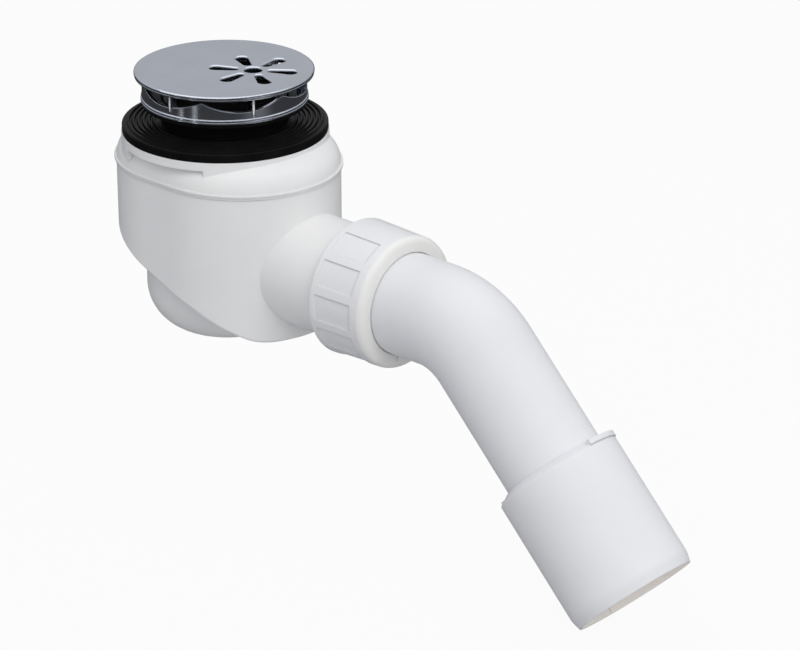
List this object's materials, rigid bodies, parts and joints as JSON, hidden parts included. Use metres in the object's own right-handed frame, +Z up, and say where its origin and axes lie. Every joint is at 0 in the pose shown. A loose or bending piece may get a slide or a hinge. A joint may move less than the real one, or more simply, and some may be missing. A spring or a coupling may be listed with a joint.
{
  "type": "shower trap",
  "caption": "White plastic bottle trap for a shower tray with a chromed cover, a ribbed rubber tray gasket, a ring-nut union, a 45 degree outlet bend and a pipe adaptor",
  "frame": {"origin": "on the inlet axis, in the plane of the gasket's crests, where the tray's underside lies", "axes": "+Z up out of the tray, +X the way the outlet leaves the body, +Y to the left seen along +X"},
  "size_m": [0.2757, 0.082, 0.1734],
  "materials": {
    "chrome": "satin chrome plate",
    "rubber_black": "moulded, semi-matt",
    "plastic_white": "moulded polypropylene, satin",
    "plastic_nut": "moulded polypropylene, satin, faintly warm"
  },
  "bodies": {
    "trap": {"cover_cap": "chrome", "waste_flange": "chrome", "flange_seal": "rubber_black", "clamp_sleeve": "plastic_white", "tray_gasket": "rubber_black", "body_top": "plastic_white", "body_pot": "plastic_white", "dip_tube": "plastic_white", "dip_tube_seal": "rubber_black", "pipe_seal": "rubber_black", "slip_ring": "plastic_white"},
    "nut": {"union_nut": "plastic_nut"},
    "arm": {"outlet_elbow": "plastic_white", "spigot_adaptor": "plastic_white", "adaptor_seal": "rubber_black"}
  },
  "joints": [
    {"name": "outlet_swivel", "type": "hinge", "parent": "trap", "child": "arm", "pos_m": [0.0735, 0, -0.0516], "axis": [1, 0, 0], "continuous": true},
    {"name": "nut_turn", "type": "hinge", "parent": "trap", "child": "nut", "pos_m": [0.0735, 0, -0.0516], "axis": [1, 0, 0], "range_deg": [0, 360]}
  ]
}
